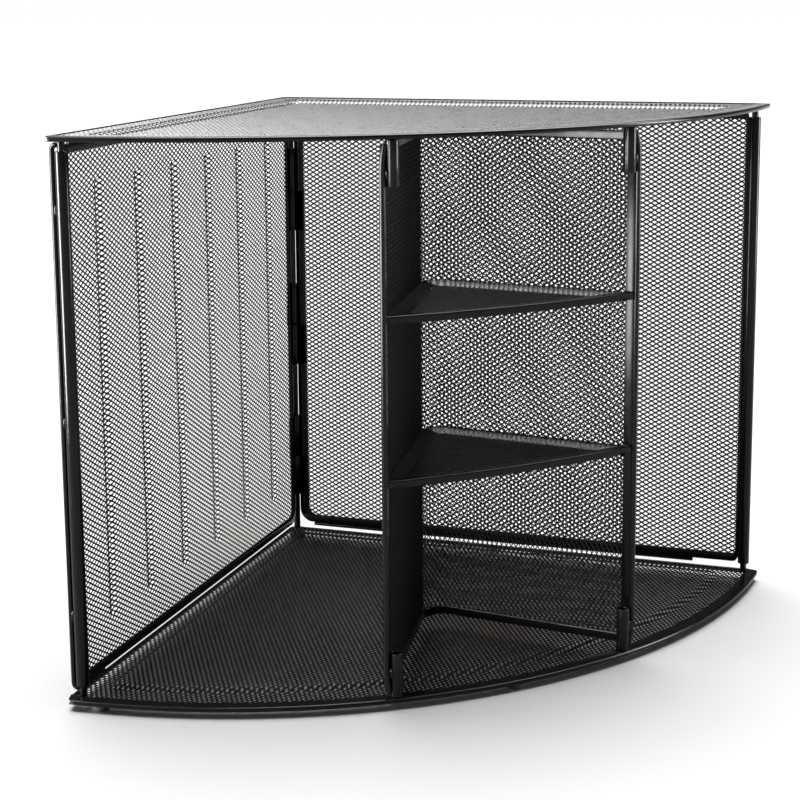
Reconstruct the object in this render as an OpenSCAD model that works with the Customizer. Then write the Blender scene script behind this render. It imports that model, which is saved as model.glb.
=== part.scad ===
// Quarter-round corner desk organizer: two wire mesh trays joined by two hinged
// mesh walls and a free-standing V-shaped mesh shelf unit. Millimetres, +Z up.
// Origin: the centre of the bounding box on the floor, under the rubber feet.

/* [Overall] */
// Length of each straight side of the trays
leg = 360; // [340:5:380]
// Height from the floor to the top of the upper tray
total_h = 340; // [320:5:360]
// How far behind the rear corner the centre of the front curve lies, on each axis
curve_back = 16; // [0:1:30]
// Radius of the rear corner of the trays
rear_corner_r = 6; // [3:1:10]

/* [Trays] */
// Height of a tray's folded edge
rim_h = 3; // [3:0.5:5]
// Width of the flat strip along the curved front edge
rim_w = 9; // [8:0.5:10]
// Width of the folded hem along the straight sides
hem_w = 2.5; // [2:0.1:2.6]
// Width of the flat border along the straight sides
side_border = 14; // [13:1:20]
// Width of the flat border behind the curved front edge
front_border = 23; // [20:1:24]
// Height by which the middle panel is pressed up in the lower tray and down in the upper one
panel_rise = 3; // [1:0.5:3]
// Thickness of every mesh sheet
sheet_t = 0.8; // [0.6:0.1:1]

/* [Feet and pins] */
// Height of the rubber feet below the tray
foot_h = 4; // [3:0.5:6]
// Radius of the rubber feet
foot_r = 5.75; // [4:0.25:7]
// Radius of the locating pins on the trays
pin_r = 2.2; // [1.8:0.1:2.2]
// How far each pin reaches into its tube
pin_reach = 12; // [8:1:14]

/* [Walls] */
// Distance of the wall planes and the hinge axis from the straight sides
wall_in = 7.6; // [7.6:0.1:8.2]
// Distance of the front tubes from the rear sides
tube_at = 350; // [345:1:350]
// Height of the folded hem along the top and bottom of each wall
wall_hem_w = 6; // [5:0.5:10]
// Width of the folded hem beside each wall tube
wall_front_w = 2; // [1.5:0.5:3]
// Thickness of the folded hems of the walls
wall_hem_t = 2.4; // [2:0.1:3]
// Outer radius of the wall tubes
wall_tube_r = 4; // [3.8:0.1:4]
// Radius of the wire outside each wall tube
wire_r = 1.6; // [1.4:0.1:1.6]
// Distance between the pressed ribs of the side wall
rib_pitch = 51.4; // [45:0.1:51.4]
// Number of pressed ribs in the side wall
rib_count = 6; // [3:1:6]

/* [Hinge] */
// Radius of the upright hinge rod
hinge_rod_r = 2.5; // [2:0.1:2.5]
// Outer radius of the hinge knuckles
knuckle_r = 4; // [3.6:0.1:4]
// Height of one knuckle
knuckle_h = 31; // [20:1:33]
// Height between two hinges
hinge_pitch = 102.5; // [95:0.5:103]
// Clearance between the hinge rod and the knuckles
hinge_gap = 0.05; // [0.02:0.01:0.1]

/* [Shelf unit] */
// Direction of the unit's centre line from the rear side
unit_turn = 44.6; // [42:0.1:48]
// Distance of the unit's front uprights from the rear corner, along its centre line
unit_front = 340; // [338:0.5:340]
// Half the distance between the front uprights
unit_half = 86.4; // [84:0.1:87]
// Distance of the sharp point of the V from the rear corner
unit_apex = 226; // [200:1:230]
// Radius of the V's rounded corner
vee_r = 14; // [8:1:16]
// Outer radius of the socket tubes
socket_r = 4; // [3.5:0.1:4]
// Length of the socket tubes
socket_l = 27; // [20:1:32]
// Radius of the upright wires
upright_r = 1.75; // [1.5:0.05:2]
// Height of the upper shelf above the floor
upper_shelf_z = 236; // [200:1:250]
// Height of the lower shelf above the floor
lower_shelf_z = 139; // [100:0.5:160]
// How far the front of the shelves bows out
shelf_bow = 6; // [4:0.5:8]
// Height of the front lip of the shelves
shelf_lip_h = 4; // [3:0.5:6]
// Width of the strip along the front of the shelves
shelf_rim_w = 5; // [3:0.5:8]

/* [Hidden] */
smooth = 180;
round_fn = 48;
slack = 0.3;
weld_r = 1.6;
weld_l = 4;
bore_r = 2.5;
curve_r = norm([leg + curve_back, curve_back]);
base_z = foot_h;
top_z = total_h - rim_h;
border_z = rim_h - 0.6 - sheet_t;
base_top = base_z + rim_h;
wall_low = base_z + rim_h + 7;
wall_high = top_z - 1.5;
wall_rear = wall_in + knuckle_r + slack;
wall_front = tube_at - wall_tube_r;
wall_tuck = 3;
wall_corner_r = 10;
wall_front_r = 4;
tube_low = base_z + 9.5;
tube_high = top_z - 6;
wire_gap = 0.4;
wire_in = wall_in - wall_tube_r - wire_gap - wire_r;
wire_bend_r = 3;
wire_low = tube_low - wire_r - 0.6;
wire_high = top_z - wire_r - 0.8;
hinge_low = wall_low + 21.5;
rib_first = 52;
rib_w = 3;
rib_rise = 1;
rib_low = base_z + 34;
rib_high = base_z + 306;
unit_low = base_z + border_z + sheet_t + panel_rise + 0.5;
unit_high = top_z + border_z - panel_rise - 1.2;
unit_hem_h = 6;
unit_hem_t = 2;
socket_low = base_top + slack;
socket_high = top_z - slack;
socket_half = unit_half - socket_r - upright_r - 0.75;
bend_steps = 24;
vee_half = atan(unit_half / (unit_front - unit_apex));
vee_c = unit_apex + vee_r / sin(vee_half);
plate_start = vee_r / tan(vee_half);
shelf_front_r = (unit_half * unit_half + shelf_bow * shelf_bow) / (2 * shelf_bow);
shelf_c = unit_front + shelf_bow - shelf_front_r;
shelf_drop = 3;
tip_foot = 20;
lug_l = 19;
lug_r = 1.3;

black = [0.03, 0.03, 0.032];
rubber_black = [0.02, 0.02, 0.02];

// Moves a shape drawn from the rear corner into the part's frame
module from_corner() {
  translate([-leg / 2, leg / 2, 0])
    children();
}

// Turns a side wall shape into a rear wall shape, by mirroring across the diagonal
module to_rear() {
  mirror([1, 1, 0])
    children();
}

// Moves a shape drawn along the unit's centre line into the part's frame
module from_unit() {
  from_corner()
    rotate([0, 0, -unit_turn])
      children();
}

// Puts a shape on both front corners of the unit
module both_hands() {
  children();
  mirror([0, 1, 0])
    children();
}

// Quarter-round outline, moved in from the straight sides and from the front curve
module quarter(side_in, front_in) {
  corner = max(rear_corner_r - side_in / 2, 1);
  intersection() {
    translate([-curve_back, curve_back])
      circle(r = curve_r - front_in, $fn = smooth);
    difference() {
      translate([side_in, -leg])
        square([leg - side_in, leg - side_in]);
      difference() {
        translate([side_in, -side_in - corner])
          square(corner);
        translate([side_in + corner, -side_in - corner])
          circle(r = corner, $fn = round_fn);
      }
    }
    translate([0, -leg])
      square(leg);
  }
}

// Quarter outline cut straight at both tips, for the mesh inside the hems
module slab(side_in, front_in, low, thick) {
  translate([0, 0, low])
    linear_extrude(height = thick)
      quarter(side_in, front_in);
}

// Mesh sheet with a flat border and a middle panel pressed up or down by rise
module tray_mesh(low, rise) {
  flat = low + border_z;
  panel = flat + rise;
  difference() {
    slab(hem_w, rim_w, flat, sheet_t);
    slab(side_border, front_border, flat - 1, sheet_t + 2);
  }
  difference() {
    slab(side_border, front_border, min(flat, panel), abs(rise) + sheet_t);
    slab(side_border + sheet_t, front_border + sheet_t, min(flat, panel) - 1, abs(rise) + sheet_t + 2);
  }
  slab(side_border, front_border, panel, sheet_t);
}

module tray_front_rim(low) {
  difference() {
    slab(0, 0, low, rim_h);
    slab(-1, rim_w, low - 1, rim_h + 2);
  }
}

module tray_side_hem(low) {
  difference() {
    intersection() {
      slab(0, rim_w, low, rim_h);
      translate([0, -leg, low])
        cube([rear_corner_r, leg - rear_corner_r, rim_h]);
    }
    slab(hem_w, 0, low - 1, rim_h + 2);
  }
}

module tray_rear_hem(low) {
  difference() {
    slab(0, rim_w, low, rim_h);
    slab(hem_w, rim_w - 1, low - 1, rim_h + 2);
    translate([-1, -leg, low - 1])
      cube([hem_w + 1, leg - rear_corner_r, rim_h + 2]);
  }
}

module pin(x, y, low, high) {
  translate([x, y, low])
    cylinder(h = high - low, r = pin_r, $fn = round_fn);
}

module wall_pins(low, high) {
  pin(wall_in, -tube_at, low, high);
  pin(tube_at, -wall_in, low, high);
}

module unit_pins(low, high) {
  both_hands()
    pin(unit_front, -socket_half, low, high);
}

// Domed rubber foot standing on the floor at z = 0
module foot(x, y, top) {
  translate([x, y, 0])
    rotate_extrude($fn = round_fn)
      polygon([[0, 0], [foot_r - 2, 0], [foot_r - 0.6, 0.8], [foot_r, 2.2], [foot_r, top], [0, top]]);
}

// Flat plate with rounded front corners in the plane of the side wall
module wall_plate(in, front_in, radius, front_r, thick) {
  low = wall_low + in;
  high = wall_high - in;
  back = wall_rear + in;
  front = wall_front - front_in;
  translate([wall_in - thick / 2, 0, 0])
    rotate([90, 0, 90])
      linear_extrude(height = thick)
        for (corner = [[-back - radius, low + radius, radius], [-back - radius, high - radius, radius],
                       [-front + front_r, low + front_r, front_r], [-front + front_r, high - front_r, front_r]])
          wall_plate_quarter(corner, [-(back + front) / 2, (low + high) / 2]);
}

// One quarter of a rounded rectangle, from its corner circle (x, y, radius) to its middle
module wall_plate_quarter(corner, middle) {
  radius = corner[2];
  translate([corner[0], corner[1]])
    circle(r = radius, $fn = round_fn);
  box_between([corner[0], corner[1] + sign(corner[1] - middle[1]) * radius], middle);
  box_between([corner[0] + sign(corner[0] - middle[0]) * radius, corner[1]], middle);
}

// Rectangle between two opposite corners
module box_between(a, b) {
  translate([min(a[0], b[0]), min(a[1], b[1])])
    square([abs(a[0] - b[0]), abs(a[1] - b[1])]);
}

module wall_sheet() {
  wall_plate(wall_hem_w - wall_tuck, wall_front_w - 1, wall_corner_r - wall_tuck, wall_front_r - 1, sheet_t);
}

module wall_ribs() {
  for (i = [0:rib_count - 1])
    translate([wall_in - rib_rise, -rib_first - i * rib_pitch - rib_w / 2, rib_low])
      cube([rib_rise, rib_w, rib_high - rib_low]);
}

module wall_hem() {
  difference() {
    wall_plate(0, 0, wall_corner_r, wall_front_r, wall_hem_t);
    wall_plate(wall_hem_w, wall_front_w, wall_corner_r - wall_hem_w / 2, wall_front_r - 1, wall_hem_t + 1);
    wall_sheet();
  }
}

// Front tube with a hole at each end for the locating pins of the trays
module wall_tube() {
  translate([wall_in, -tube_at, tube_low])
    difference() {
      cylinder(h = tube_high - tube_low, r = wall_tube_r, $fn = round_fn);
      translate([0, 0, -1])
        cylinder(h = tube_high - tube_low + 2, r = bore_r, $fn = round_fn);
    }
}

// Quarter bend of wire at right angles to the wall, turning in under the tube's end
module wire_bend() {
  translate([wire_bend_r, 0, 0])
    rotate([90, 0, 180])
      rotate_extrude(start = 0, angle = 90, $fn = round_fn)
        translate([wire_bend_r, 0])
          circle(r = wire_r, $fn = round_fn);
}

module wall_wire() {
  low = wire_low + wire_bend_r;
  high = wire_high - wire_bend_r;
  translate([wire_in, -tube_at, low])
    cylinder(h = high - low, r = wire_r, $fn = round_fn);
  translate([wire_in, -tube_at, high])
    wire_bend();
  translate([wire_in, -tube_at, low])
    mirror([0, 0, 1])
      wire_bend();
}

module wall_welds() {
  for (z = [56, 173, 297])
    difference() {
      translate([wall_in - wall_tube_r - wire_gap / 2, -tube_at, z - weld_l / 2])
        cylinder(h = weld_l, r = weld_r, $fn = round_fn);
      translate([wall_in, -tube_at, z - 5])
        cylinder(h = 10, r = wall_tube_r, $fn = round_fn);
      translate([wire_in, -tube_at, z - 5])
        cylinder(h = 10, r = wire_r, $fn = round_fn);
    }
}

// Rolled barrels of one wall; first says whether they are the upper ones of each hinge
module wall_knuckles(first) {
  for (i = [0:2])
    translate([wall_in, -wall_in, hinge_low + i * hinge_pitch + first * knuckle_h + slack / 2])
      difference() {
        union() {
          cylinder(h = knuckle_h - slack, r = knuckle_r, $fn = round_fn);
          translate([-wall_hem_t / 2, wall_in - wall_rear, 0])
            cube([wall_hem_t, wall_rear - wall_in, knuckle_h - slack]);
        }
        translate([0, 0, -1])
          cylinder(h = knuckle_h + 2, r = hinge_rod_r + hinge_gap, $fn = round_fn);
      }
}

module upright_hinge_rod() {
  // the rod reaches down almost to the base tray, as the dark post in the photo does
  translate([wall_in, -wall_in, base_top + 1])
    cylinder(h = wall_high - base_top - 1, r = hinge_rod_r, $fn = round_fn);
}

// Round bar under a wall's lower hem, from one distance from the rear corner to another
module wall_bar(from, to) {
  translate([wall_in, -to, wall_low - lug_r])
    rotate([-90, 0, 0])
      cylinder(h = to - from, r = lug_r, $fn = round_fn);
}

// Area between the plates of the V, moved in from them by side_in
module vee_fill(side_in) {
  reach = norm([unit_front - unit_apex, unit_half]) + 20;
  shift_x = side_in * sin(vee_half);
  shift_y = side_in * cos(vee_half);
  near = [unit_apex + plate_start * cos(vee_half) + shift_x, plate_start * sin(vee_half) - shift_y];
  far = [unit_apex + reach * cos(vee_half) + shift_x, reach * sin(vee_half) - shift_y];
  translate([vee_c, 0])
    circle(r = vee_r - side_in, $fn = round_fn);
  polygon([near, far, [far[0], -far[1]], [near[0], -near[1]]]);
}

// Points of the V's line, moved in by side_in, from one upright round the bend to the other
function vee_line(side_in) =
  let (drop = side_in / cos(vee_half))
  let (end_y = unit_half - drop)
  concat(
    [[unit_front, end_y]],
    [for (i = [0:bend_steps])
      let (a = 90 + vee_half + i * (180 - 2 * vee_half) / bend_steps)
      [vee_c + (vee_r - side_in) * cos(a), (vee_r - side_in) * sin(a)]],
    [[unit_front, -end_y]]);

// V-shaped strip with a rounded corner, standing on edge between the uprights
module vee(thick, low, high) {
  outer = vee_line(-thick / 2);
  inner = vee_line(thick / 2);
  last = len(inner) - 1;
  difference() {
    translate([0, 0, low])
      linear_extrude(height = high - low)
        polygon(concat(outer, [for (i = [0:last]) inner[last - i]]));
    upright(1);
    upright(-1);
  }
}

module unit_hem(low) {
  difference() {
    vee(unit_hem_t, low, low + unit_hem_h);
    vee(sheet_t, unit_low + 1, unit_high - 1);
  }
}

module upright(hand) {
  translate([unit_front, hand * unit_half, unit_low])
    cylinder(h = unit_high - unit_low, r = upright_r, $fn = round_fn);
}

module sockets(low, high) {
  both_hands()
    translate([unit_front, -socket_half, low])
      difference() {
        cylinder(h = high - low, r = socket_r, $fn = round_fn);
        translate([0, 0, -1])
          cylinder(h = high - low + 2, r = bore_r, $fn = round_fn);
      }
}

module socket_welds() {
  for (z = [socket_low + 15, socket_high - 19])
    both_hands()
      difference() {
        translate([unit_front + 0.7, -unit_half + upright_r + 0.4, z - weld_l / 2])
          cylinder(h = weld_l, r = weld_r, $fn = round_fn);
        translate([unit_front, -socket_half, z - 5])
          cylinder(h = 10, r = socket_r, $fn = round_fn);
        translate([unit_front, -unit_half, z - 5])
          cylinder(h = 10, r = upright_r, $fn = round_fn);
      }
}

// The same area, cut off in front by the shelf's curve
module vee_area(side_in, front_in) {
  intersection() {
    translate([shelf_c, 0])
      circle(r = shelf_front_r - front_in, $fn = smooth);
    vee_fill(side_in);
  }
}

// Dished mesh floor: an upstand along the sides of the V and a flat sunk floor
module shelf_mesh(top) {
  touch = sheet_t / 2;
  floor_z = top - 0.8 - shelf_drop - sheet_t;
  translate([0, 0, floor_z])
    linear_extrude(height = sheet_t)
      vee_area(touch, shelf_rim_w);
  translate([0, 0, floor_z])
    linear_extrude(height = shelf_drop + sheet_t)
      difference() {
        vee_area(touch, shelf_rim_w);
        vee_area(touch + sheet_t, -5);
      }
}

// Folded strip along the front of a shelf, fitted round the uprights and plates
module shelf_rim(top) {
  difference() {
    translate([0, 0, top - 0.8 - shelf_lip_h])
      linear_extrude(height = shelf_lip_h + 0.8)
        difference() {
          vee_area(sheet_t / 2, 0);
          vee_area(-5, shelf_rim_w);
        }
    upright(1);
    upright(-1);
  }
}

module base_tray_mesh() {
  color(black) from_corner() tray_mesh(base_z, panel_rise);
}

module base_tray_front_rim() {
  color(black) from_corner() tray_front_rim(base_z);
}

module base_tray_side_hem() {
  color(black) from_corner() tray_side_hem(base_z);
}

module base_tray_rear_hem() {
  color(black) from_corner() tray_rear_hem(base_z);
}

module base_wall_pins() {
  color(black) from_corner() wall_pins(base_top, tube_low + pin_reach);
}

module base_unit_pins() {
  color(black) from_unit() unit_pins(base_top, socket_low + pin_reach);
}

module rubber_feet() {
  ring = curve_r - foot_r - 1;
  front = ring - curve_back * sqrt(2);
  tip = norm([ring, 0]) - curve_back - 2;
  color(rubber_black) from_corner() {
    foot(front * cos(45), -front * sin(45), base_z);
    foot(tip_foot, -tip, base_z);
    foot(tip, -tip_foot, base_z);
    foot(8.5, -8.5, base_z + border_z);
  }
}

module top_tray_mesh() {
  color(black) from_corner() tray_mesh(top_z, -panel_rise);
}

module top_tray_front_rim() {
  color(black) from_corner() tray_front_rim(top_z);
}

module top_tray_side_hem() {
  color(black) from_corner() tray_side_hem(top_z);
}

module top_tray_rear_hem() {
  color(black) from_corner() tray_rear_hem(top_z);
}

module top_wall_pins() {
  color(black) from_corner() wall_pins(tube_high - pin_reach, top_z);
}

module top_unit_pins() {
  color(black) from_unit() unit_pins(socket_high - pin_reach, top_z);
}

module side_wall_mesh() {
  color(black) from_corner() {
    wall_sheet();
    wall_ribs();
  }
}

module side_wall_hem() {
  color(black) from_corner() wall_hem();
}

module side_wall_tube() {
  color(black) from_corner() wall_tube();
}

module side_wall_wire() {
  color(black) from_corner() wall_wire();
}

module side_wall_knuckles() {
  color(black) from_corner() wall_knuckles(1);
}

module side_wall_welds() {
  color(black) from_corner() wall_welds();
}

module side_wall_lug() {
  color(black) from_corner() wall_bar(tube_at - 8 - lug_l, tube_at - 8);
}

module rear_wall_bar() {
  color(black) from_corner() to_rear() wall_bar(wall_rear + wall_corner_r, tube_at - 36);
}

module rear_wall_mesh() {
  color(black) from_corner() to_rear() wall_sheet();
}

module rear_wall_hem() {
  color(black) from_corner() to_rear() wall_hem();
}

module rear_wall_tube() {
  color(black) from_corner() to_rear() wall_tube();
}

module rear_wall_wire() {
  color(black) from_corner() to_rear() wall_wire();
}

module rear_wall_knuckles() {
  color(black) from_corner() to_rear() wall_knuckles(0);
}

module rear_wall_welds() {
  color(black) from_corner() to_rear() wall_welds();
}

module hinge_rod() {
  color(black) from_corner() upright_hinge_rod();
}

module unit_mesh() {
  color(black) from_unit() vee(sheet_t, unit_low + 1, unit_high - 1);
}

module unit_top_hem() {
  color(black) from_unit() unit_hem(unit_high - unit_hem_h);
}

module unit_bottom_hem() {
  color(black) from_unit() unit_hem(unit_low);
}

module unit_left_upright() {
  color(black) from_unit() upright(-1);
}

module unit_right_upright() {
  color(black) from_unit() upright(1);
}

module unit_top_sockets() {
  color(black) from_unit() sockets(socket_high - socket_l, socket_high);
}

module unit_bottom_sockets() {
  color(black) from_unit() sockets(socket_low, socket_low + socket_l);
}

module unit_welds() {
  color(black) from_unit() socket_welds();
}

module upper_shelf_mesh() {
  color(black) from_unit() shelf_mesh(upper_shelf_z);
}

module upper_shelf_rim() {
  color(black) from_unit() shelf_rim(upper_shelf_z);
}

module lower_shelf_mesh() {
  color(black) from_unit() shelf_mesh(lower_shelf_z);
}

module lower_shelf_rim() {
  color(black) from_unit() shelf_rim(lower_shelf_z);
}

base_tray_mesh();
base_tray_front_rim();
base_tray_side_hem();
base_tray_rear_hem();
base_wall_pins();
base_unit_pins();
rubber_feet();
top_tray_mesh();
top_tray_front_rim();
top_tray_side_hem();
top_tray_rear_hem();
top_wall_pins();
top_unit_pins();
side_wall_mesh();
side_wall_hem();
side_wall_tube();
side_wall_wire();
side_wall_knuckles();
side_wall_welds();
side_wall_lug();
rear_wall_mesh();
rear_wall_hem();
rear_wall_tube();
rear_wall_wire();
rear_wall_knuckles();
rear_wall_welds();
rear_wall_bar();
hinge_rod();
unit_mesh();
unit_top_hem();
unit_bottom_hem();
unit_left_upright();
unit_right_upright();
unit_top_sockets();
unit_bottom_sockets();
unit_welds();
upper_shelf_mesh();
upper_shelf_rim();
lower_shelf_mesh();
lower_shelf_rim();
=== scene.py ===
import math

import bpy
import numpy as np
from mathutils import Euler, Matrix, Vector


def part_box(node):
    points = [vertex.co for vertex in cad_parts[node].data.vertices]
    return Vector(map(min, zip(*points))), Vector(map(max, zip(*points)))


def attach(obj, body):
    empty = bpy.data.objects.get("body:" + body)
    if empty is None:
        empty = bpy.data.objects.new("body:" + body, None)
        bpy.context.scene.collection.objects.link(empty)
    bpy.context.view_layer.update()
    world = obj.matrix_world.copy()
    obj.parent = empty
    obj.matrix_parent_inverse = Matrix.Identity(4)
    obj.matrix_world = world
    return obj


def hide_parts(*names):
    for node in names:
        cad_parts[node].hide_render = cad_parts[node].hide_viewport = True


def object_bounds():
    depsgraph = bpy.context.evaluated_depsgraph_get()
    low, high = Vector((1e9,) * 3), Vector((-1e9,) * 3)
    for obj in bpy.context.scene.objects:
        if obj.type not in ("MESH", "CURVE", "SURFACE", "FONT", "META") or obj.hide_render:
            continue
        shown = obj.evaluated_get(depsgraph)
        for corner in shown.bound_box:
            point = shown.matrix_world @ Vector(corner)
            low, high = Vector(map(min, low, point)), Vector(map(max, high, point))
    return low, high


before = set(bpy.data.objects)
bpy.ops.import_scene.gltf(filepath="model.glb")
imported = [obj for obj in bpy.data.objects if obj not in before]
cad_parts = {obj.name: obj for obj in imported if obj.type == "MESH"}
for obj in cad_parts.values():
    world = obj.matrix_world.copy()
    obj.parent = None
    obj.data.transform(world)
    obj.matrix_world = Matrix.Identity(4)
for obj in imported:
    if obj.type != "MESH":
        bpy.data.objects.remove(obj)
cad_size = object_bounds()

# ---------------------------------------------------------------- measures, millimetres
# The pieces are drawn in the corner frame: x and y from the tray's rear corner, y towards
# the front is negative, z from the floor. to_row() moves them into the part's frame.
LEG = (cad_size[1][0] - cad_size[0][0]) * 1000


def box(node):
    """Box of a CAD node in the corner frame."""
    low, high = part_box(node)
    shift = np.array([LEG / 2, -LEG / 2, 0])
    return np.array(low) * 1000 + shift, np.array(high) * 1000 + shift


def middle(node):
    low, high = box(node)
    return (low + high) / 2


def heights(node):
    low, high = box(node)
    return low[2], high[2]


CURVE_BACK = 16  # how far the centre of the front curve lies behind the rear corner
CURVE_R = math.hypot(LEG + CURVE_BACK, CURVE_BACK)
REAR_CORNER_R = 6
SHEET = 0.8  # thickness of the pressed sheet

BASE_Z, BASE_TOP = heights("base_tray_front_rim")
TOP_Z, TOP_TOP = heights("top_tray_front_rim")
RIM_W = 9
HEM_W = 2.5
SIDE_BORDER = 14
FRONT_BORDER = 23
PANEL_STEP = 3
STEP_RUN = 5.0  # width of the slope round the middle panel
PANEL_ROUND = 9
BORDER_Z = 2.0  # middle of the tray's mesh above its underside

CELL_A = 2.85  # half the long diagonal of a mesh diamond
CELL_B = 1.675  # half the short diagonal
# size of each hole as a share of its diamond
HOLE = 0.70
WALL_HOLE = 0.605
UNIT_HOLE = 0.74
BASE_HOLE = 0.50
MESH_T = 0.8  # thickness of the mesh where strands meet
UPRIGHT_CELL = (CELL_A, CELL_B)
TURNED_CELL = (CELL_B, CELL_A)

WALL_IN = middle("side_wall_tube")[0]
WALL_LOW, WALL_HIGH = heights("side_wall_hem")
HEM_REAR = -box("side_wall_hem")[1][1]
HEM_FRONT = -box("side_wall_hem")[0][1]
WALL_HEM_W = 6
WALL_FRONT_W = 2
WALL_HEM_T = 2.4
WALL_CORNER_R = 10
WALL_FRONT_R = 4
HEM_REAR_REACH = 1.2  # the rear hem reaches back between the knuckles
TUBE_AT = -middle("side_wall_tube")[1]
TUBE_LOW, TUBE_HIGH = heights("side_wall_tube")
TUBE_R = 4.0
BORE_R = 2.5
PIN_R = 2.2
WIRE_R = 1.6
WIRE_IN = box("side_wall_wire")[0][0] + WIRE_R
WIRE_BEND_R = 3.0
WIRE_LOW, WIRE_HIGH = heights("side_wall_wire")
RIB_FIRST = 51.3
RIB_PITCH = 51.3
RIB_COUNT = 6
RIB_RISE = 1.8
RIB_HALF = 4.5  # half the width of a rib
RIB_FOOT = 27  # the ribs start this far above the wall's lower edge
RIB_TOP = 22
RIB_FADE = 4

KNUCKLE_R = 4.0
KNUCKLE_H = 31
HINGE_ROD_R = 2.5

SOCKET_R = 4.0
UPRIGHT_R = 1.75
SOCKET_LOW = heights("unit_bottom_sockets")[0]
SOCKET_HIGH = heights("unit_top_sockets")[1]
UNIT_LOW, UNIT_HIGH = heights("unit_left_upright")
UNIT_HEM_H = 6
UNIT_HEM_T = 2
VEE_R = 14
SHELF_RIM_W = 5
SHELF_BOW = 6
SHELF_DROP = 3
FLANGE_W = 8


# ---------------------------------------------------------------- the unit's own frame
# p runs from the rear corner along the unit's centre line, q to its right.
LEFT = middle("unit_left_upright")
RIGHT = middle("unit_right_upright")
MID = (LEFT + RIGHT) / 2
UNIT_FRONT = math.hypot(MID[0], MID[1])
UNIT_HALF = math.hypot(RIGHT[0] - LEFT[0], RIGHT[1] - LEFT[1]) / 2
TURN = math.atan2(-MID[1], MID[0])
BEND = np.array([box("unit_bottom_hem")[0][0], box("unit_bottom_hem")[1][1]])
BEND += np.array([1, -1]) * (VEE_R + UNIT_HEM_T / 2)
VEE_C = BEND[0] * math.cos(TURN) - BEND[1] * math.sin(TURN)
# half-angle of the V: the plate touches the bend's circle and ends at the upright
VEE_HALF = math.atan2(UNIT_HALF, UNIT_FRONT - VEE_C) - math.asin(
    VEE_R / math.hypot(UNIT_HALF, UNIT_FRONT - VEE_C)
)
VEE_APEX = VEE_C - VEE_R / math.sin(VEE_HALF)
BEND_ANGLE = math.pi / 2 - VEE_HALF
BEND_LENGTH = VEE_R * BEND_ANGLE
PLATE_START = VEE_C - VEE_R * math.sin(VEE_HALF)
PLATE_LENGTH = (UNIT_FRONT - PLATE_START) / math.cos(VEE_HALF)
VEE_LENGTH = BEND_LENGTH + PLATE_LENGTH
SHELF_R = (UNIT_HALF**2 + SHELF_BOW**2) / (2 * SHELF_BOW)
SHELF_C = UNIT_FRONT + SHELF_BOW - SHELF_R


def from_unit(p, q, z):
    """Points of the unit's frame moved into the corner frame."""
    x = p * math.cos(TURN) + q * math.sin(TURN)
    y = -p * math.sin(TURN) + q * math.cos(TURN)
    return np.stack(np.broadcast_arrays(x, y, z), axis=-1)


def vee_point(s, out, z):
    """Point of the V's line, s from the middle of the bend, out of it by out."""
    side = np.sign(s)
    turn = np.clip(np.abs(s), 0, BEND_LENGTH) / VEE_R
    run = np.maximum(np.abs(s) - BEND_LENGTH, 0)
    p = VEE_C - (VEE_R + out) * np.cos(turn) + run * math.cos(VEE_HALF)
    q = side * ((VEE_R + out) * np.sin(turn) + run * math.sin(VEE_HALF))
    return from_unit(p, q, z)


def vee_depth(p, q):
    """How far a point of the unit's frame lies inside the V's line."""
    plate = (p - VEE_APEX) * math.sin(VEE_HALF) - np.abs(q) * math.cos(VEE_HALF)
    back = np.arctan2(np.abs(q), VEE_C - p) < BEND_ANGLE
    return np.where(back, VEE_R - np.hypot(p - VEE_C, q), plate)


# ---------------------------------------------------------------- making pieces
SHARP_ANGLE = 32  # degrees; edges that bend more stay sharp


def to_row(points):
    """Millimetres in the corner frame to metres in the part's frame."""
    return (np.asarray(points, float) + [-LEG / 2, LEG / 2, 0]) / 1000


def piece(name, points, faces, body, look, replaces=()):
    """Object from points in the corner frame and faces of any number of corners."""
    mesh = bpy.data.meshes.new(name)
    rows = to_row(points)
    sizes = np.array([len(f) for f in faces], dtype=np.int32)
    corners = np.concatenate([np.asarray(f, dtype=np.int32) for f in faces])
    mesh.vertices.add(len(rows))
    mesh.vertices.foreach_set("co", rows.astype(np.float32).ravel())
    mesh.loops.add(len(corners))
    mesh.loops.foreach_set("vertex_index", corners)
    mesh.polygons.add(len(sizes))
    starts = np.concatenate([[0], np.cumsum(sizes)[:-1]]).astype(np.int32)
    mesh.polygons.foreach_set("loop_start", starts)
    mesh.update(calc_edges=True)
    mesh.validate()
    mesh.shade_smooth()
    mesh.set_sharp_from_angle(angle=math.radians(SHARP_ANGLE))
    obj = bpy.data.objects.new(name, mesh)
    bpy.context.scene.collection.objects.link(obj)
    mesh.materials.append(look)
    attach(obj, body)
    if replaces:
        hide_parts(*replaces)
    return obj


def joined(parts):
    """Several (points, faces) drawn as one."""
    points, faces, count = [], [], 0
    for some, more in parts:
        points.append(np.asarray(some, float))
        faces.extend([[i + count for i in f] for f in more])
        count += len(some)
    return np.concatenate(points), faces


def mirrored(shape):
    """Side wall shape turned into a rear wall shape, across the diagonal."""
    points, faces = shape
    points = np.asarray(points, float)
    flipped = np.stack([-points[:, 1], -points[:, 0], points[:, 2]], axis=1)
    return flipped, [list(f)[::-1] for f in faces]


def arc(cx, cy, r, start, end, steps):
    """Points on an arc, start and end in degrees."""
    turns = [math.radians(start + (end - start) * i / steps) for i in range(steps + 1)]
    return [(cx + r * math.cos(t), cy + r * math.sin(t)) for t in turns]


def rounded(x0, y0, x1, y1, radii, steps=4):
    """Rectangle with its own radius at each corner, from the lower left anticlockwise."""
    a, b, c, d = radii
    return (
        arc(x0 + a, y0 + a, a, 180, 270, steps)
        + arc(x1 - b, y0 + b, b, 270, 360, steps)
        + arc(x1 - c, y1 - c, c, 0, 90, steps)
        + arc(x0 + d, y1 - d, d, 90, 180, steps)
    )


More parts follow.
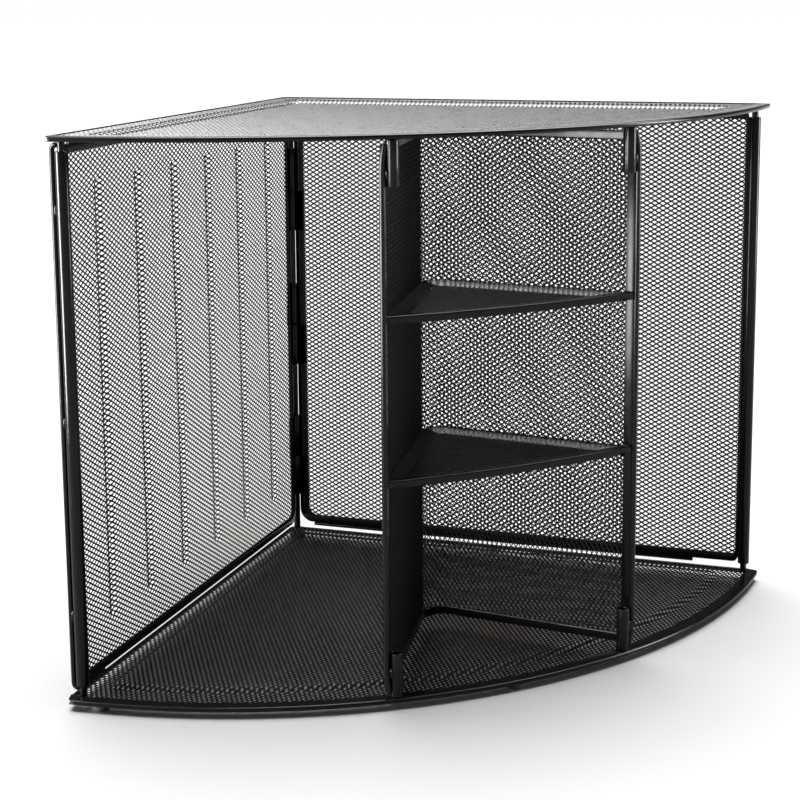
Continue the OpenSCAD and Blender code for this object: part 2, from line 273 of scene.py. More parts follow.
def skin(rows, ring=False):
    """Faces between rows of points of the same number, with end caps unless it is a ring."""
    rows = [np.asarray(r, float) for r in rows]
    n = len(rows[0])
    points = np.concatenate(rows)
    faces = []
    last = len(rows) if ring else len(rows) - 1
    for i in range(last):
        a, b = i * n, ((i + 1) % len(rows)) * n
        for k in range(n):
            m = (k + 1) % n
            faces.append([a + k, a + m, b + m, b + k])
    if not ring:
        faces.append(list(range(n))[::-1])
        faces.append([(len(rows) - 1) * n + k for k in range(n)])
    return points, faces


def outward(shape):
    """Turns every face round if the closed shape is inside out."""
    points, faces = shape
    points = np.asarray(points, float)
    volume = 0.0
    for f in faces:
        o = points[f[0]]
        for i in range(1, len(f) - 1):
            volume += float(np.dot(o, np.cross(points[f[i]], points[f[i + 1]])))
    if volume < 0:
        faces = [list(f)[::-1] for f in faces]
    return points, faces


def sweep(path, across, up, outline):
    """Outline of (across, up) carried along a path with its own directions."""
    rows = []
    for point, side, rise in zip(path, across, up):
        point, side, rise = np.asarray(point), np.asarray(side), np.asarray(rise)
        rows.append([point + a * side + b * rise for a, b in outline])
    return outward(skin(rows))


def wire(path, r, around=20):
    """Round wire along a path, with bevelled ends."""
    path = [np.asarray(p, float) for p in path]
    rows = []
    ref = np.array([0.3, 0.5, 0.81])  # any direction that no wire runs along
    first = (path[0] - path[1]) / np.linalg.norm(path[0] - path[1])
    last = (path[-1] - path[-2]) / np.linalg.norm(path[-1] - path[-2])
    soft = 0.35 * r
    near_first, near_last = path[0] - first * soft, path[-1] - last * soft
    path = [path[0], near_first] + path[1:-1] + [near_last, path[-1]]
    radii = [r - soft] + [r] * (len(path) - 2) + [r - soft]
    along = []
    for i, p in enumerate(path):
        a = path[max(i - 1, 0)]
        b = path[min(i + 1, len(path) - 1)]
        along.append((b - a) / np.linalg.norm(b - a))
    side = np.cross(along[0], ref)
    side /= np.linalg.norm(side)
    for p, t, radius in zip(path, along, radii):
        side = side - np.dot(side, t) * t
        side /= np.linalg.norm(side)
        other = np.cross(t, side)
        rows.append(
            [
                p + radius * (math.cos(w) * side + math.sin(w) * other)
                for w in (2 * math.pi * k / around for k in range(around))
            ]
        )
    return outward(skin(rows))


def lathe(outline, x, y, around=40, closed=False):
    """Outline of (radius, height) turned round an upright line at x, y."""
    points, rows = [], []
    for r, z in outline:
        if r < 1e-6:
            rows.append([len(points)])
            points.append((x, y, z))
        else:
            rows.append(list(range(len(points), len(points) + around)))
            for k in range(around):
                w = 2 * math.pi * k / around
                points.append((x + r * math.cos(w), y + r * math.sin(w), z))
    faces = []
    count = len(rows)
    for i in range(count if closed else count - 1):
        a, b = rows[i], rows[(i + 1) % count]
        for k in range(around):
            m = (k + 1) % around
            if len(a) == 1:
                faces.append([a[0], b[m], b[k]])
            elif len(b) == 1:
                faces.append([a[k], a[m], b[0]])
            else:
                faces.append([a[k], a[m], b[m], b[k]])
    return outward((points, faces))


def rod_outline(r, low, high, edge):
    """Half section of a solid rod with rounded ends, for lathe()."""
    foot = arc(r - edge, low + edge, edge, -90, 0, 4)
    head = arc(r - edge, high - edge, edge, 0, 90, 4)
    return [(0, low)] + foot + head + [(0, high)]


def tube_outline(r, bore, low, high, edge=0.35):
    """Half section of a tube with rounded ends, for a closed lathe()."""
    return rounded(bore, low, r, high, (edge, edge, edge, edge), 3)


def blob(x, y, z, r, half):
    """Weld bead, longer than wide, standing upright."""
    outline = [(0, z - half)]
    outline += [(r * math.cos(t), z + half * math.sin(t)) for t in np.linspace(-1.3, 1.3, 9)]
    outline += [(0, z + half)]
    return lathe(outline, x, y, 20)


# ---------------------------------------------------------------- expanded mesh
CORNERS = ((1, 0), (0, 1), (-1, 0), (0, -1))
BESIDE = ((1, 1), (-1, 1), (-1, -1), (1, -1))


def lattice(name, keep, place, span, body, look, replaces, cell=UPRIGHT_CELL, hole=HOLE):
    """Expanded mesh: diamond cells, each with a hole, joined at their corners.

    keep says which cell centres (u, v) stay, place maps (u, v, n) to the corner frame and
    span is the range of u and v to fill. Every strand has a diamond cross-section."""
    (u0, u1), (v0, v1) = span
    cell_u, cell_v = cell
    first_i, last_i = math.floor(u0 / cell_u) - 1, math.ceil(u1 / cell_u) + 1
    first_j, last_j = math.floor(v0 / cell_v) - 1, math.ceil(v1 / cell_v) + 1
    i, j = np.meshgrid(np.arange(first_i, last_i + 1), np.arange(first_j, last_j + 1), indexing="ij")
    even = (i + j) % 2 == 0
    i, j = i[even], j[even]
    stay = keep(i * cell_u, j * cell_v)
    i, j = i[stay], j[stay]
    cells = len(i)
    grid = np.full((last_i - first_i + 5, last_j - first_j + 5), -1, dtype=np.int64)
    a, b = i - first_i + 2, j - first_j + 2
    taken = np.zeros(grid.shape, dtype=bool)
    taken[a, b] = True
    for da, db in CORNERS:
        grid[a + da, b + db] = 0
    used = np.argwhere(grid == 0)
    grid[used[:, 0], used[:, 1]] = np.arange(len(used))
    nodes = len(used)
    node_u = (used[:, 0] - 2 + first_i) * cell_u
    node_v = (used[:, 1] - 2 + first_j) * cell_v
    front = place(node_u, node_v, np.full(nodes, MESH_T / 2))
    back = place(node_u, node_v, np.full(nodes, -MESH_T / 2))
    holes = []
    for di, dj in CORNERS:
        u = (i + di * hole) * cell_u
        v = (j + dj * hole) * cell_v
        holes.append(place(u, v, np.zeros(cells)))
    points = np.concatenate([front, back] + holes)
    corner = [grid[a + da, b + db] for da, db in CORNERS]
    inner = [2 * nodes + k * cells + np.arange(cells) for k in range(4)]
    quads = []
    for k in range(4):
        m = (k + 1) % 4
        quads.append(np.stack([corner[k], corner[m], inner[m], inner[k]], axis=1))
        quads.append(np.stack([corner[m] + nodes, corner[k] + nodes, inner[k], inner[m]], axis=1))
        da, db = BESIDE[k]
        open_side = ~taken[a + da, b + db]
        ck, cm = corner[k][open_side], corner[m][open_side]
        quads.append(np.stack([ck, ck + nodes, cm + nodes, cm], axis=1))
    quads = np.concatenate(quads)
    q = quads[0]
    facing = np.cross(points[q[1]] - points[q[0]], points[q[2]] - points[q[1]])
    if np.dot(facing, points[q[0]] - points[q[0] + nodes]) < 0:
        quads = quads[:, ::-1]
    mesh = bpy.data.meshes.new(name)
    mesh.vertices.add(len(points))
    mesh.vertices.foreach_set("co", to_row(points).astype(np.float32).ravel())
    mesh.loops.add(quads.size)
    mesh.loops.foreach_set("vertex_index", quads.astype(np.int32).ravel())
    mesh.polygons.add(len(quads))
    mesh.polygons.foreach_set("loop_start", np.arange(0, quads.size, 4, dtype=np.int32))
    mesh.update(calc_edges=True)
    mesh.shade_smooth()
    obj = bpy.data.objects.new(name, mesh)
    bpy.context.scene.collection.objects.link(obj)
    mesh.materials.append(look)
    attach(obj, body)
    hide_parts(*replaces)
    return obj


# ---------------------------------------------------------------- materials
def coat(name, colour, rough, spread, grain, bump, level):
    """Powder coat: orange-peel bump and patchy roughness from noise in object space."""
    look = bpy.data.materials.new(name)
    look.use_nodes = True
    tree = look.node_tree
    shader = tree.nodes["Principled BSDF"]
    shader.inputs["Base Color"].default_value = (*colour, 1)
    shader.inputs["Specular IOR Level"].default_value = level
    where = tree.nodes.new("ShaderNodeTexCoord")
    peel = tree.nodes.new("ShaderNodeTexNoise")
    peel.inputs["Scale"].default_value = grain
    peel.inputs["Detail"].default_value = 3
    patch = tree.nodes.new("ShaderNodeTexNoise")
    patch.inputs["Scale"].default_value = grain / 9
    patch.inputs["Detail"].default_value = 4
    scale = tree.nodes.new("ShaderNodeMapRange")
    scale.inputs["From Min"].default_value = 0.3
    scale.inputs["From Max"].default_value = 0.7
    scale.inputs["To Min"].default_value = rough - spread
    scale.inputs["To Max"].default_value = rough + spread
    relief = tree.nodes.new("ShaderNodeBump")
    relief.inputs["Strength"].default_value = bump
    relief.inputs["Distance"].default_value = 0.0002
    tree.links.new(where.outputs["Object"], peel.inputs["Vector"])
    tree.links.new(where.outputs["Object"], patch.inputs["Vector"])
    tree.links.new(patch.outputs["Fac"], scale.inputs["Value"])
    tree.links.new(scale.outputs["Result"], shader.inputs["Roughness"])
    tree.links.new(peel.outputs["Fac"], relief.inputs["Height"])
    tree.links.new(relief.outputs["Normal"], shader.inputs["Normal"])
    return look


MESH_COAT = coat("mesh_coat", (0.0012, 0.0012, 0.0013), 0.32, 0.06, 1400, 0.15, 0.05)
# lit copy of the mesh coat for the top tray: its slightly lighter base colour and ten times the specular
# level are painted sheen, standing in for the overhead light on the upward-facing strands
TOP_MESH_LIT_COAT = coat("top_mesh_painted_sheen_coat", (0.002, 0.002, 0.0021), 0.30, 0.06, 1400, 0.15, 0.5)
STEEL_COAT = coat("steel_coat", (0.0012, 0.0012, 0.0013), 0.18, 0.05, 1600, 0.12, 0.15)
RUBBER = coat("rubber", (0.015, 0.015, 0.015), 0.70, 0.10, 900, 0.5, 0.4)


def steel(name, shape, body, *nodes):
    """Piece of painted steel that takes the place of these CAD nodes."""
    points, faces = shape
    piece(name, points, faces, body, STEEL_COAT, nodes)


# ---------------------------------------------------------------- trays
def from_curve(x, y):
    """How far a point lies behind the curved front edge."""
    return CURVE_R - np.hypot(x + CURVE_BACK, y - CURVE_BACK)


def panel_height(x, y, rise):
    """Height of the pressed middle panel above the flat border."""
    round_r = PANEL_ROUND
    left = np.maximum(round_r - (x - SIDE_BORDER), 0)
    rear = np.maximum(round_r - (-y - SIDE_BORDER), 0)
    front = np.maximum(round_r - (from_curve(x, y) - FRONT_BORDER), 0)
    inside = round_r - np.sqrt(left**2 + rear**2 + front**2)
    t = np.clip(inside / STEP_RUN, 0, 1)
    return rise * t * t * (3 - 2 * t)


def tray_lattice(name, low, rise, body, node, look, hole):
    """Mesh panel of a tray; its edges are tucked into the hems and the front strip."""
    tuck = 1.2  # how deep the mesh sits inside the side and rear hems

    def keep(u, v):
        return (u > tuck) & (v < -tuck) & (from_curve(u, v) > RIM_W - 4)

    def place(u, v, n):
        x = np.maximum(u, tuck)
        y = np.minimum(v, -tuck)
        return np.stack([x, y, low + BORDER_Z + panel_height(x, y, rise) + n], axis=-1)

    span = ((0, LEG), (-LEG, 0))
    lattice(name, keep, place, span, body, look, (node,), cell=TURNED_CELL, hole=hole)


STRIP_STEPS = 150
TIP_R = 6  # radius of the strip's rounded tips, seen from above
TIP_GAP = 8  # the hems end this far before the tips
STRIP_EDGE = (1.4, 1.4)  # radii of the strip's outer edge, below and above


def tray_rim(name, low, high, body, node, edge):
    """Folded strip along the curved front edge; both ends lie in the straight sides."""
    outline = rounded(0, low, RIM_W, high, (edge[0], 0.3, 0.4, edge[1]), 5)
    rows = []
    for i in range(STRIP_STEPS + 1):
        row = []
        for back, z in outline:
            r = CURVE_R - back
            short = TIP_R - math.sqrt(TIP_R**2 - max(TIP_R - back, 0) ** 2)
            start = math.acos((CURVE_BACK + short) / r)
            end = math.asin((CURVE_BACK + short) / r)
            turn = start + (end - start) * i / STRIP_STEPS
            row.append((-CURVE_BACK + r * math.cos(turn), CURVE_BACK - r * math.sin(turn), z))
        rows.append(row)
    steel(name, outward(skin(rows)), body, node)


def tray_hem(name, low, high, body, node, side):
    """Folded hem of one straight side; the rear one also turns the rear corner."""
    outline = rounded(0, low, HEM_W, high, (0.9, 0.6, 0.5, 0.9), 4)
    end = LEG - TIP_GAP  # under the front strip, whose rounded nose closes the tip
    if side:
        path = [(0, -REAR_CORNER_R), (0, -end)]
        across = [(1, 0), (1, 0)]
    else:
        path, across = [], []
        for k in range(11):
            t = math.radians(180 - 9 * k)
            path.append((REAR_CORNER_R * (1 + math.cos(t)), REAR_CORNER_R * (math.sin(t) - 1)))
            across.append((-math.cos(t), -math.sin(t)))
        path.append((end, 0))
        across.append((0, -1))
    path = [(x, y, 0) for x, y in path]
    across = [(x, y, 0) for x, y in across]
    steel(name, sweep(path, across, [(0, 0, 1)] * len(path), outline), body, node)


# the middle panel is raised in the base tray and sunk in the top tray
tray_lattice("base_tray_lattice", BASE_Z, PANEL_STEP, "base_tray", "base_tray_mesh", MESH_COAT, BASE_HOLE)
tray_lattice("top_tray_lattice", TOP_Z, -PANEL_STEP, "top_tray", "top_tray_mesh", TOP_MESH_LIT_COAT, HOLE)
tray_rim("base_front_strip", BASE_Z, BASE_TOP, "base_tray", "base_tray_front_rim", STRIP_EDGE)
tray_rim("top_front_strip", TOP_Z, TOP_TOP, "top_tray", "top_tray_front_rim", STRIP_EDGE)
tray_hem("base_side_fold", BASE_Z, BASE_TOP, "base_tray", "base_tray_side_hem", True)
tray_hem("base_rear_fold", BASE_Z, BASE_TOP, "base_tray", "base_tray_rear_hem", False)
tray_hem("top_side_fold", TOP_Z, TOP_TOP, "top_tray", "top_tray_side_hem", True)
tray_hem("top_rear_fold", TOP_Z, TOP_TOP, "top_tray", "top_tray_rear_hem", False)


def two_pins(node, r):
    """Centres of two round things from the box round both of them."""
    low, high = box(node)
    return ((low[0] + r, low[1] + r), (high[0] - r, high[1] - r))


for tray in ("base", "top"):
    for what in ("wall", "unit"):
        node = "%s_%s_pins" % (tray, what)
        low, high = heights(node)
        outline = rod_outline(PIN_R, low, high, 0.8)
        pins = [lathe(outline, x, y) for x, y in two_pins(node, PIN_R)]
        steel(node + "_round", joined(pins), tray + "_tray", node)


# ---------------------------------------------------------------- rubber feet
def foot_outline(r, high):
    flat = [(0, 0), (r * 0.45, 0), (r * 0.68, 0.25), (r * 0.86, 0.85)]
    return flat + [(r * 0.96, 1.7), (r, 2.7), (r, high), (0, high)]


FOOT_R = 5.75
RING = CURVE_R - FOOT_R - 1
FRONT_FOOT = (RING - CURVE_BACK * math.sqrt(2)) * math.cos(math.pi / 4)
TIP_FOOT = 20
TIP_AT = RING - CURVE_BACK - 2
REAR_FOOT = 8.5
REAR_FOOT_HIGH = BASE_Z + BORDER_Z - MESH_T / 2  # up to the mesh, where the others meet the rim
feet = []
for x, y, high in (
    (FRONT_FOOT, -FRONT_FOOT, BASE_Z),
    (TIP_FOOT, -TIP_AT, BASE_Z),
    (TIP_AT, -TIP_FOOT, BASE_Z),
    (REAR_FOOT, -REAR_FOOT, REAR_FOOT_HIGH),
):
    feet.append(lathe(foot_outline(FOOT_R, high), x, y, 48))
points, faces = joined(feet)
piece("rubber_feet_domed", points, faces, "base_tray", RUBBER, ("rubber_feet",))


# ---------------------------------------------------------------- walls
def wall_keep(u, v):
    inner = 3  # the mesh runs this far under the hem
    return (
        (u > HEM_REAR + inner)
        & (u < HEM_FRONT - 0.5)
        & (v > WALL_LOW + inner)
        & (v < WALL_HIGH - inner)
    )


def side_place(u, v, n):
    """Side wall, with its pressed upright ribs."""
    u = np.minimum(u, HEM_FRONT - 0.6)
    bulge = np.zeros_like(u, dtype=float)
    for k in range(RIB_COUNT):
        away = np.abs(u - RIB_FIRST - k * RIB_PITCH) / RIB_HALF
        ends = np.clip((v - WALL_LOW - RIB_FOOT) / RIB_FADE, 0, 1)
        ends = ends * np.clip((WALL_HIGH - RIB_TOP - v) / RIB_FADE, 0, 1)
        bulge += RIB_RISE * np.cos(np.clip(away, 0, 1) * math.pi / 2) * ends
    return np.stack([WALL_IN - bulge + n, -u, v], axis=-1)


def rear_place(u, v, n):
    """Rear wall, which is flat."""
    u = np.minimum(u, HEM_FRONT - 0.6)
    return np.stack([u, n - WALL_IN, v], axis=-1)


SPAN = ((HEM_REAR, HEM_FRONT), (WALL_LOW, WALL_HIGH))
for name, place in (("side_wall", side_place), ("rear_wall", rear_place)):
    node = (name + "_mesh",)
    lattice(name + "_lattice", wall_keep, place, SPAN, "hinged_walls", MESH_COAT, node, hole=WALL_HOLE)


def frame_outline(in_v, in_rear, in_front, rear_r, front_r, steps=8):
    """Rounded rectangle in the wall's plane, moved in from the hem's outside."""
    u0, u1 = HEM_REAR - HEM_REAR_REACH + in_rear, HEM_FRONT - in_front
    v0, v1 = WALL_LOW + in_v, WALL_HIGH - in_v
    return rounded(u0, v0, u1, v1, (rear_r, front_r, front_r, rear_r), steps)


def wall_frame():
    """Flat folded hem round a wall with rounded edges, drawn for the side wall."""
    loops = []
    edge = 0.8
    half = WALL_HEM_T / 2
    rear_w = WALL_HEM_W + HEM_REAR_REACH
    slope = [(0.0, edge), (0.3, 0.3), (edge, 0.0)]
    for inset, down in slope:
        loops.append((inset, half - down))
    for inset, down in slope[::-1]:
        loops.append((WALL_HEM_W - inset, half - down))
    for inset, down in slope:
        loops.append((WALL_HEM_W - inset, down - half))
    for inset, down in slope[::-1]:
        loops.append((inset, down - half))
    rows = []
    for inset, x in loops:
        share = inset / WALL_HEM_W
        outline = frame_outline(
            inset,
            share * rear_w,
            share * WALL_FRONT_W,
            WALL_CORNER_R - share * WALL_HEM_W * 0.6,
            WALL_FRONT_R - share * 1.2,
        )
        rows.append([(WALL_IN + x, -u, v) for u, v in outline])
    return outward(skin(rows, ring=True))


def wall_wire():
    """Upright wire outside the tube, bent in under and over the tube's ends."""
    r = WIRE_BEND_R
    low, high = WIRE_LOW + WIRE_R, WIRE_HIGH - WIRE_R
    path = [(WIRE_IN + r + 0.3, -TUBE_AT, low)]
    for a, b in arc(WIRE_IN + r, low + r, r, 270, 180, 8):
        path.append((a, -TUBE_AT, b))
    for a, b in arc(WIRE_IN + r, high - r, r, 180, 90, 8):
        path.append((a, -TUBE_AT, b))
    path.append((WIRE_IN + r + 0.3, -TUBE_AT, high))
    return wire(path, WIRE_R)


WALL_WELDS_Z = (56, 173, 297)


def wall_welds():
    """Beads on both sides of the gap between the tube and the wire."""
    beads = []
    gap = (WALL_IN - TUBE_R + WIRE_IN + WIRE_R) / 2
    for z in WALL_WELDS_Z:
        for side in (-1, 1):
            beads.append(blob(gap, -TUBE_AT + side * 1.0, z, 1.2, 3.4))
    return joined(beads)


def knuckles(node):
    """Three rolled barrels round the hinge rod, each with its leaf."""
    low, high = heights(node)
    length = KNUCKLE_H - 0.3
    pitch = (high - low - length) / 2
    parts = []
    for k in range(3):
        z0 = low + k * pitch
        barrel = tube_outline(KNUCKLE_R, HINGE_ROD_R + 0.05, z0, z0 + length, 0.4)
        parts.append(lathe(barrel, WALL_IN, -WALL_IN, 40, closed=True))
        leaf = rounded(-WALL_HEM_T / 2, 0, WALL_HEM_T / 2, KNUCKLE_R + 3, (0.3, 0.3, 0.3, 0.3), 2)
        rows = []
        for inset, z in ((0.3, z0), (0, z0 + 0.3), (0, z0 + length - 0.3), (0.3, z0 + length)):
            scale = 1 - inset / 2.4
            rows.append([(WALL_IN + a * scale, -WALL_IN - HINGE_ROD_R - 0.8 - b, z) for a, b in leaf])
        parts.append(outward(skin(rows)))
    return joined(parts)


def place_wall(name, shape):
    """The same shape on the side wall and, mirrored, on the rear wall."""
    steel("side_wall_" + name + "_formed", shape, "hinged_walls", "side_wall_" + name)
    steel("rear_wall_" + name + "_formed", mirrored(shape), "hinged_walls", "rear_wall_" + name)


place_wall("hem", wall_frame())
tube = tube_outline(TUBE_R, BORE_R, TUBE_LOW, TUBE_HIGH)
place_wall("tube", lathe(tube, WALL_IN, -TUBE_AT, 40, closed=True))
place_wall("wire", wall_wire())
place_wall("welds", wall_welds())
steel("side_wall_knuckles_rolled", knuckles("side_wall_knuckles"), "hinged_walls", "side_wall_knuckles")
rear = knuckles("rear_wall_knuckles")
steel("rear_wall_knuckles_rolled", mirrored(rear), "hinged_walls", "rear_wall_knuckles")
rod_low, rod_high = heights("hinge_rod")
rod = lathe(rod_outline(HINGE_ROD_R, rod_low, rod_high, 0.9), WALL_IN, -WALL_IN)
steel("hinge_rod_round", rod, "hinged_walls", "hinge_rod")

# bars under the walls' lower hems
BAR_R = 1.3
for node, along in (("side_wall_lug", 1), ("rear_wall_bar", 0)):
    low, high = box(node)
    centre = (low + high) / 2
    start, end = centre.copy(), centre.copy()
    start[along], end[along] = low[along], high[along]
    steel(node + "_round", wire([start, end], BAR_R), "hinged_walls", node)


# ---------------------------------------------------------------- V-shaped shelf unit
END_GAP = 1.2  # between the mesh and the ends of the V


def unit_keep(u, v):
    return (np.abs(u) < VEE_LENGTH - END_GAP - 1) & (v > UNIT_LOW + 3) & (v < UNIT_HIGH - 3)


def unit_place(u, v, n):
    return vee_point(np.clip(u, END_GAP - VEE_LENGTH, VEE_LENGTH - END_GAP), n, v)


UNIT_SPAN = ((-VEE_LENGTH, VEE_LENGTH), (UNIT_LOW, UNIT_HIGH))
lattice(
    "unit_lattice",
    unit_keep,
    unit_place,
    UNIT_SPAN,
    "shelf_unit",
    MESH_COAT,
    ("unit_mesh",),
    cell=TURNED_CELL,
    hole=UNIT_HOLE,
)


def vee_stops(gap, fine=16):
    """Places along the V's line, close together in the bend."""
    end = VEE_LENGTH - gap
    bend = list(np.linspace(-BEND_LENGTH, BEND_LENGTH, fine + 1))
    return [-end, -(end + BEND_LENGTH) / 2] + bend + [(end + BEND_LENGTH) / 2, end]


def vee_strip(outline, gap):
    """Outline of (out, height) carried along the V's line."""
    rows = []
    for s in vee_stops(gap):
        rows.append([vee_point(np.array(s), out, z) for out, z in outline])
    return outward(skin(rows))


half = UNIT_HEM_T / 2
for name, low in (("bottom", UNIT_LOW), ("top", UNIT_HIGH - UNIT_HEM_H)):
    outline = rounded(-half, low, half, low + UNIT_HEM_H, (0.8, 0.8, 0.8, 0.8), 4)
    steel("unit_%s_band" % name, vee_strip(outline, 0.9), "shelf_unit", "unit_%s_hem" % name)

# upright folded edges of the V beside its uprights
EDGE_W = 6
edges = []
for side in (-1, 1):
    ends = (VEE_LENGTH - EDGE_W - 0.9, VEE_LENGTH - 0.9)
    outline = rounded(ends[0], -half, ends[1], half, (0.8, 0.8, 0.8, 0.8), 3)
    rows = []
    for inset, z in ((0.8, UNIT_LOW + 0.2), (0, UNIT_LOW + 1), (0, UNIT_HIGH - 1), (0.8, UNIT_HIGH - 0.2)):
        rows.append([vee_point(np.array(side * s), out * (1 - inset / 2), z) for s, out in outline])
    edges.append(outward(skin(rows)))
steel("unit_edge_folds", joined(edges), "shelf_unit")

# uprights, curved in towards the sockets at both ends
LEAN = 2.2  # how far the ends move in
LEAN_RUN = 16  # height over which they do
LEAN_STEPS = 7
SOCKETS = two_pins("unit_top_sockets", SOCKET_R)
for name, where, socket in (("left", LEFT, SOCKETS[0]), ("right", RIGHT, SOCKETS[1])):
    way = np.array([socket[0] - where[0], socket[1] - where[1], 0])
    way /= np.linalg.norm(way)
    start = np.array([where[0], where[1], 0])
    path = []
    for t in np.linspace(0, 1, LEAN_STEPS):
        path.append(start + way * LEAN * (1 - t) ** 2 + np.array([0, 0, UNIT_LOW + LEAN_RUN * t]))
    path.append(start + np.array([0, 0, (UNIT_LOW + UNIT_HIGH) / 2]))
    for t in np.linspace(1, 0, LEAN_STEPS):
        path.append(start + way * LEAN * (1 - t) ** 2 + np.array([0, 0, UNIT_HIGH - LEAN_RUN * t]))
    steel("unit_%s_rod" % name, wire(path, UPRIGHT_R), "shelf_unit", "unit_%s_upright" % name)

for name in ("bottom", "top"):
    node = "unit_%s_sockets" % name
    low, high = heights(node)
    outline = tube_outline(SOCKET_R, BORE_R, low, high, 0.4)
    tubes = [lathe(outline, x, y, 40, closed=True) for x, y in SOCKETS]
    steel(node + "_round", joined(tubes), "shelf_unit", node)

# weld beads between each upright and its sockets
beads = []
near = 0.42  # place of a bead on the line from upright to socket
for where, socket in ((LEFT, SOCKETS[0]), (RIGHT, SOCKETS[1])):
    ax, ay = from_unit(1.1, 0, 0)[:2]
    for z in (SOCKET_LOW + 15, SOCKET_HIGH - 19):
        x = where[0] * (1 - near) + socket[0] * near
        y = where[1] * (1 - near) + socket[1] * near
        beads.append(blob(x + ax, y + ay, z, 1.5, 3.6))
steel("unit_weld_beads", joined(beads), "shelf_unit", "unit_welds")


# ---------------------------------------------------------------- shelves
def shelf_depth(p, q):
    """How far a point of the unit's frame lies behind a shelf's front edge."""
    return SHELF_R - np.hypot(p - SHELF_C, q)


SHELF_LIP = 4.8  # height of the folded strip
SHELF_STEPS = 30
SHELF_END_GAP = 0.5  # between the strip's ends and the V


def shelf(name, top):
    """Mesh floor with sloping sides and a folded strip along its bowed front."""
    floor = top - 0.8 - SHELF_DROP - SHEET / 2

    def keep(u, v):
        return (vee_depth(v, u) > FLANGE_W - 0.6) & (shelf_depth(v, u) > SHELF_RIM_W - 2)

    def place(u, v, n):
        return from_unit(v, u, floor + n)

    span = ((-UNIT_HALF, UNIT_HALF), (VEE_C - VEE_R, UNIT_FRONT + SHELF_BOW))
    lattice(name + "_lattice", keep, place, span, "shelf_unit", MESH_COAT, (name + "_mesh",))

    # smooth sloping sides, from the V down to the floor
    high = top - 0.4
    low = floor - SHEET / 2
    outline = [
        (-0.4, high - 1.6),
        (-FLANGE_W + 1, low + 0.15),
        (-FLANGE_W - 1, low),
        (-FLANGE_W - 1.2, low + SHEET / 2),
        (-FLANGE_W - 1, low + SHEET),
        (-FLANGE_W + 0.6, low + SHEET + 0.1),
        (-1.6, high - 0.5),
        (-0.9, high),
        (-0.4, high - 0.2),
    ]
    steel(name + "_flange", vee_strip(outline, 3.5), "shelf_unit")

    # folded strip along the front
    profile = rounded(0, top - SHELF_LIP, SHELF_RIM_W, top, (0.8, 0.3, 0.4, 1.0), 5)
    stops = []
    for back, z in profile:
        r = SHELF_R - back
        near, far = 0.0, 0.5
        for _ in range(40):
            t = (near + far) / 2
            p, q = np.array(SHELF_C + r * math.cos(t)), np.array(r * math.sin(t))
            if vee_depth(p, q) > SHELF_END_GAP:
                near = t
            else:
                far = t
        stops.append(near)
    rows = []
    for i in range(SHELF_STEPS + 1):
        row = []
        for (back, z), stop in zip(profile, stops):
            t = stop * (2 * i / SHELF_STEPS - 1)
            r = SHELF_R - back
            row.append(from_unit(SHELF_C + r * math.cos(t), r * math.sin(t), z))
        rows.append(row)
    steel(name + "_strip", outward(skin(rows)), "shelf_unit", name + "_rim")


shelf("upper_shelf", heights("upper_shelf_rim")[1])
shelf("lower_shelf", heights("lower_shelf_rim")[1])


# ---------------------------------------------------------------- floor, light, camera
def flat_square(name, half_side, look):
    mesh = bpy.data.meshes.new(name)
    s = half_side
    mesh.from_pydata([(-s, -s, 0), (s, -s, 0), (s, s, 0), (-s, s, 0)], [], [(0, 1, 2, 3)])
    obj = bpy.data.objects.new(name, mesh)
    bpy.context.scene.collection.objects.link(obj)
    mesh.materials.append(look)
    return obj


paper = bpy.data.materials.new("paper")
paper.use_nodes = True
paper_shader = paper.node_tree.nodes["Principled BSDF"]
paper_shader.inputs["Base Color"].default_value = (0.93, 0.93, 0.93, 1)
paper_shader.inputs["Roughness"].default_value = 0.9
paper_shader.inputs["Specular IOR Level"].default_value = 0.1
floor = flat_square("floor", 20.0, paper)


def area_light(name, at, target, size, power):
    """Rectangular lamp that points at a target."""
    lamp = bpy.data.lights.new(name, "AREA")
    lamp.shape = "RECTANGLE"
    lamp.size, lamp.size_y = size
    lamp.energy = power
    obj = bpy.data.objects.new(name, lamp)
    bpy.context.scene.collection.objects.link(obj)
    at = np.array(at)
    back = at - np.array(target)
    back = back / np.linalg.norm(back)
    side = np.cross((0, 0, 1), back)
    side /= np.linalg.norm(side)
    up = np.cross(back, side)
    obj.matrix_world = Matrix(
        (
            (side[0], up[0], back[0], at[0]),
            (side[1], up[1], back[1], at[1]),
            (side[2], up[2], back[2], at[2]),
            (0, 0, 0, 1),
        )
    )
    return obj


def only_on_the_organizer(lamp, pieces):
    """The softboxes light the black paint and leave the pale floor alone."""
    lit = bpy.data.collections.new(lamp.name + "_receivers")
    for obj in pieces:
        lit.objects.link(obj)
    lamp.light_linking.receiver_collection = lit


painted = [o for o in bpy.context.scene.objects if o.type == "MESH" and o is not floor]
unit_pieces = [o for o in painted if o.name.startswith("unit_")]
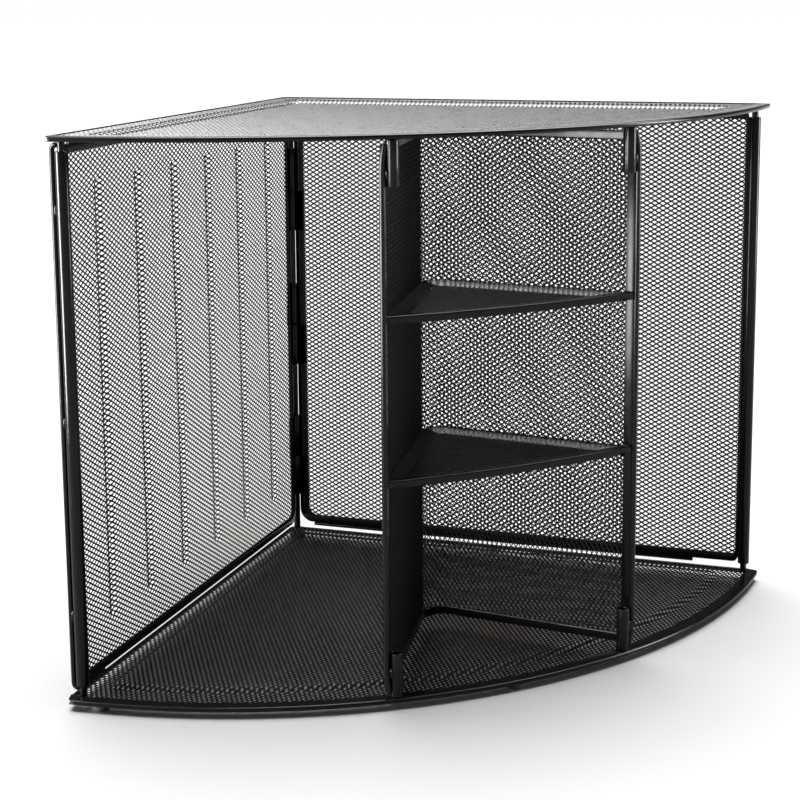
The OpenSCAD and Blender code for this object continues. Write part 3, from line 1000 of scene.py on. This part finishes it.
# name, place, what it points at (metres), width and height, watts, what it lights
SOFTBOXES = (
    ("left_softbox", (-0.75, -0.60, 0.40), (-0.1, -0.2, 0.22), (0.30, 0.9), 75, painted),
    ("unit_softbox", (-0.43, -1.10, 0.20), (0.12, 0.0, 0.20), (0.40, 0.6), 26, unit_pieces),
    ("top_softbox", (0.1, 0.7, 1.4), (0, 0, 0.3), (1.6, 0.8), 60, painted),
    ("right_softbox", (1.3, 0.5, 0.5), (0, 0, 0.2), (0.3, 0.8), 25, painted),
)
for name, at, target, size, watts, lit_pieces in SOFTBOXES:
    only_on_the_organizer(area_light(name, at, target, size, watts), lit_pieces)
sun = bpy.data.lights.new("sky_panel", "SUN")
sun.energy = 4.0
sun.angle = math.radians(60)
sun_object = bpy.data.objects.new("sky_panel", sun)
sun_object.rotation_euler = (math.radians(-12), math.radians(-8), 0)
bpy.context.scene.collection.objects.link(sun_object)


def studio_world():
    """White round the horizon, dimmer overhead, so that black paint stays black."""
    world = bpy.data.worlds.new("studio")
    world.use_nodes = True
    tree = world.node_tree
    where = tree.nodes.new("ShaderNodeTexCoord")
    split = tree.nodes.new("ShaderNodeSeparateXYZ")
    fade = tree.nodes.new("ShaderNodeMapRange")
    fade.interpolation_type = "SMOOTHSTEP"
    fade.inputs["From Min"].default_value = 0.04
    fade.inputs["From Max"].default_value = 0.25
    fade.inputs["To Min"].default_value = 1.0
    fade.inputs["To Max"].default_value = 0.08
    tree.links.new(where.outputs["Generated"], split.inputs["Vector"])
    tree.links.new(split.outputs["Z"], fade.inputs["Value"])
    tree.links.new(fade.outputs["Result"], tree.nodes["Background"].inputs["Strength"])
    tree.nodes["Background"].inputs["Color"].default_value = (1, 1, 1, 1)
    return world


world = studio_world()
scene = bpy.context.scene
scene.world = world
scene.view_settings.view_transform = "Standard"

camera_data = bpy.data.cameras.new("camera")
camera_data.lens = 79.9
camera_data.sensor_width = 36
camera_data.shift_y = -0.125
camera_data.clip_end = 100
camera = bpy.data.objects.new("camera", camera_data)
scene.collection.objects.link(camera)
CAMERA_AT = (0.3273, -1.0568, 0.4226)
CAMERA_TURN = (79.893, 0.458, 18.544)  # degrees about X, Y and Z; the small middle one is a slight roll
turn = Euler([math.radians(degrees) for degrees in CAMERA_TURN])
camera.matrix_world = Matrix.LocRotScale(Vector(CAMERA_AT), turn, None)
scene.camera = camera
